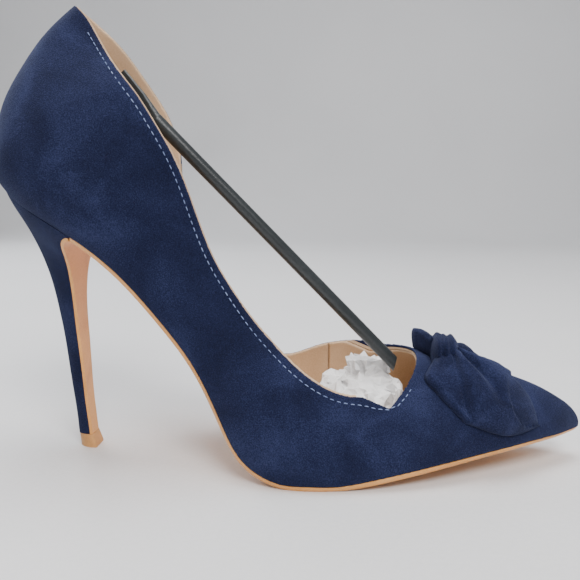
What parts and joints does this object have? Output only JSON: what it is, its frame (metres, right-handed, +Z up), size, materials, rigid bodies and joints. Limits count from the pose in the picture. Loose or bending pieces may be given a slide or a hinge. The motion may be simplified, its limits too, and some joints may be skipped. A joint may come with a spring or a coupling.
{
  "type": "high heel pump",
  "caption": "Pointed stiletto pump for the right foot, cut low on the inner side, with a fabric bow, a covered heel, a removable shape keeper and a tissue wad.",
  "frame": {"origin": "centre of the heel tip's ground face", "axes": "+X from the heel towards the toe, +Y towards the inner (medial) side of the foot, +Z up"},
  "size_m": [0.2274, 0.0749, 0.173],
  "materials": {
    "suede": "navy faux suede with a short nap",
    "bow_suede": "navy faux suede with a short nap",
    "board": "fibre board",
    "interlining": "thin white woven interlining",
    "lining": "smooth beige synthetic lining",
    "grip": "cream napped strip",
    "foam": "soft foam sheet",
    "sock": "smooth beige synthetic sock",
    "steel": "plain steel",
    "sole": "tan, fine matt grain",
    "plastic": "moulded plastic",
    "lift": "tan polyurethane",
    "keeper": "dark grey plastic with a soft sheen",
    "tissue": "white tissue paper"
  },
  "bodies": {
    "shoe": {"upper_shell": "suede", "heel_counter": "board", "side_interlining": "interlining", "toe_puff": "board", "quarter_lining": "lining", "vamp_lining": "lining", "heel_grip": "grip", "insole_board": "board", "shank_board": "board", "forefoot_foam": "foam", "sock_lining": "sock", "steel_shank": "steel", "shank_rivets": "steel", "bottom_filler": "foam", "outsole": "sole", "heel_breast_flap": "sole", "heel_cover": "suede", "heel_block": "plastic", "heel_dowel": "steel", "heel_screw": "steel", "heel_nails": "steel", "top_lift_pin": "steel", "top_lift": "lift", "bow_loop_outer": "bow_suede", "bow_loop_inner": "bow_suede", "bow_knot": "bow_suede"},
    "tissue": {"tissue_wad": "tissue"},
    "keeper": {"shape_keeper": "keeper"}
  },
  "joints": [
    {"name": "tissue_lift", "type": "slide", "parent": "shoe", "child": "tissue", "axis": [0, 0, 1], "range_m": [0, 0.175]},
    {"name": "keeper_lift", "type": "slide", "parent": "tissue", "child": "keeper", "axis": [0, 0, 1], "range_m": [0, 0.155]}
  ]
}
